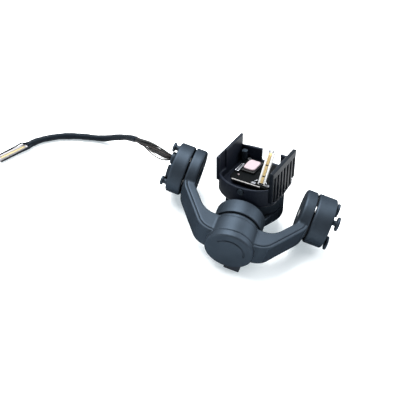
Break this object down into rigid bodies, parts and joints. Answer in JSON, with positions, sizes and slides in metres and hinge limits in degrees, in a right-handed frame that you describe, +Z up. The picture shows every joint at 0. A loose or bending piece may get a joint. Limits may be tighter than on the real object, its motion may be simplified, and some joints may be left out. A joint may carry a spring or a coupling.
{
  "type": "camera gimbal",
  "caption": "Dark satin three-axis camera gimbal for a small drone: U-shaped yoke between two side drums, roll hub, open camera housing with its board, and a taped cable with a plug.",
  "frame": {"origin": "on the tilt axis, midway between the two side drums", "axes": "+X along the tilt axis to the right drum, +Y forward from the roll hub to the camera, +Z up"},
  "size_m": [0.1388, 0.049, 0.0354],
  "materials": {
    "drum_satin": "fine satin moulding, dark slate",
    "housing_black": "satin black moulding",
    "sink_black": "black anodised, milled slots",
    "steel": "bright machined steel",
    "oxide_steel": "black-oxide steel",
    "magnet": "plated magnets",
    "copper_wire": "enamelled copper winding",
    "iron_core": "laminated iron",
    "board_green": "dark green solder mask",
    "flex_amber": "amber polyimide ribbon",
    "gold": "gold plate",
    "ceramic_white": "white moulded insulator",
    "pad_pink": "soft pale silicone pad",
    "chip_black": "moulded chip body",
    "wire_sleeve": "soft insulated strands",
    "tape_black": "spiral-wrapped cloth tape"
  },
  "bodies": {
    "root": {"left_base": "drum_satin", "right_base": "drum_satin", "left_studs": "drum_satin", "right_studs": "drum_satin", "base_screws": "steel", "left_face_plate": "drum_satin", "cable_collar": "drum_satin", "axle_bearing": "steel", "tilt_bearings": "steel", "tilt_stator": "iron_core", "tilt_coils": "copper_wire", "tilt_sensor_board": "board_green", "wire_bundle": "wire_sleeve", "cable_tape": "tape_black", "plug_shell": "ceramic_white", "plug_contacts": "gold"},
    "yoke": {"yoke_frame": "drum_satin", "yoke_cover": "drum_satin", "hub_cap": "drum_satin", "hub_tab": "housing_black", "hollow_axle": "steel", "tilt_rotor": "oxide_steel", "tilt_magnets": "magnet", "tilt_shaft": "steel", "yoke_flex": "flex_amber", "motor_board": "board_green", "hub_screws": "steel", "roll_bearings": "steel", "roll_stator": "iron_core", "roll_coils": "copper_wire"},
    "roll_arm": {"roll_bell": "drum_satin", "roll_magnets": "magnet", "roll_shaft": "steel", "roll_bracket": "drum_satin", "pan_stator": "iron_core", "pan_coils": "copper_wire", "pan_bearings": "steel", "pan_sensor_board": "board_green", "bracket_cap": "housing_black"},
    "camera": {"camera_shell": "housing_black", "heat_sink": "sink_black", "pan_bell": "housing_black", "pan_magnets": "magnet", "pan_shaft": "steel", "camera_board": "board_green", "board_screws": "steel", "image_chip": "chip_black", "thermal_pad": "pad_pink", "board_socket": "steel", "shield_rail": "ceramic_white", "status_led": "ceramic_white", "lens_flex": "ceramic_white", "flex_contacts": "gold", "flex_clip": "steel", "shell_screws": "housing_black"}
  },
  "joints": [
    {"name": "tilt", "type": "hinge", "parent": "root", "child": "yoke", "pos_m": [0, 0, 0], "axis": [1, 0, 0], "range_deg": [-90, 25]},
    {"name": "roll", "type": "hinge", "parent": "yoke", "child": "roll_arm", "pos_m": [0, -0.02, 0], "axis": [0, 1, 0], "range_deg": [-12, 33]},
    {"name": "pan", "type": "hinge", "parent": "roll_arm", "child": "camera", "pos_m": [0.00183, 0.002, 0.00051], "axis": [-0.2623, 0.1908, 0.9459], "range_deg": [-18, 30]}
  ]
}
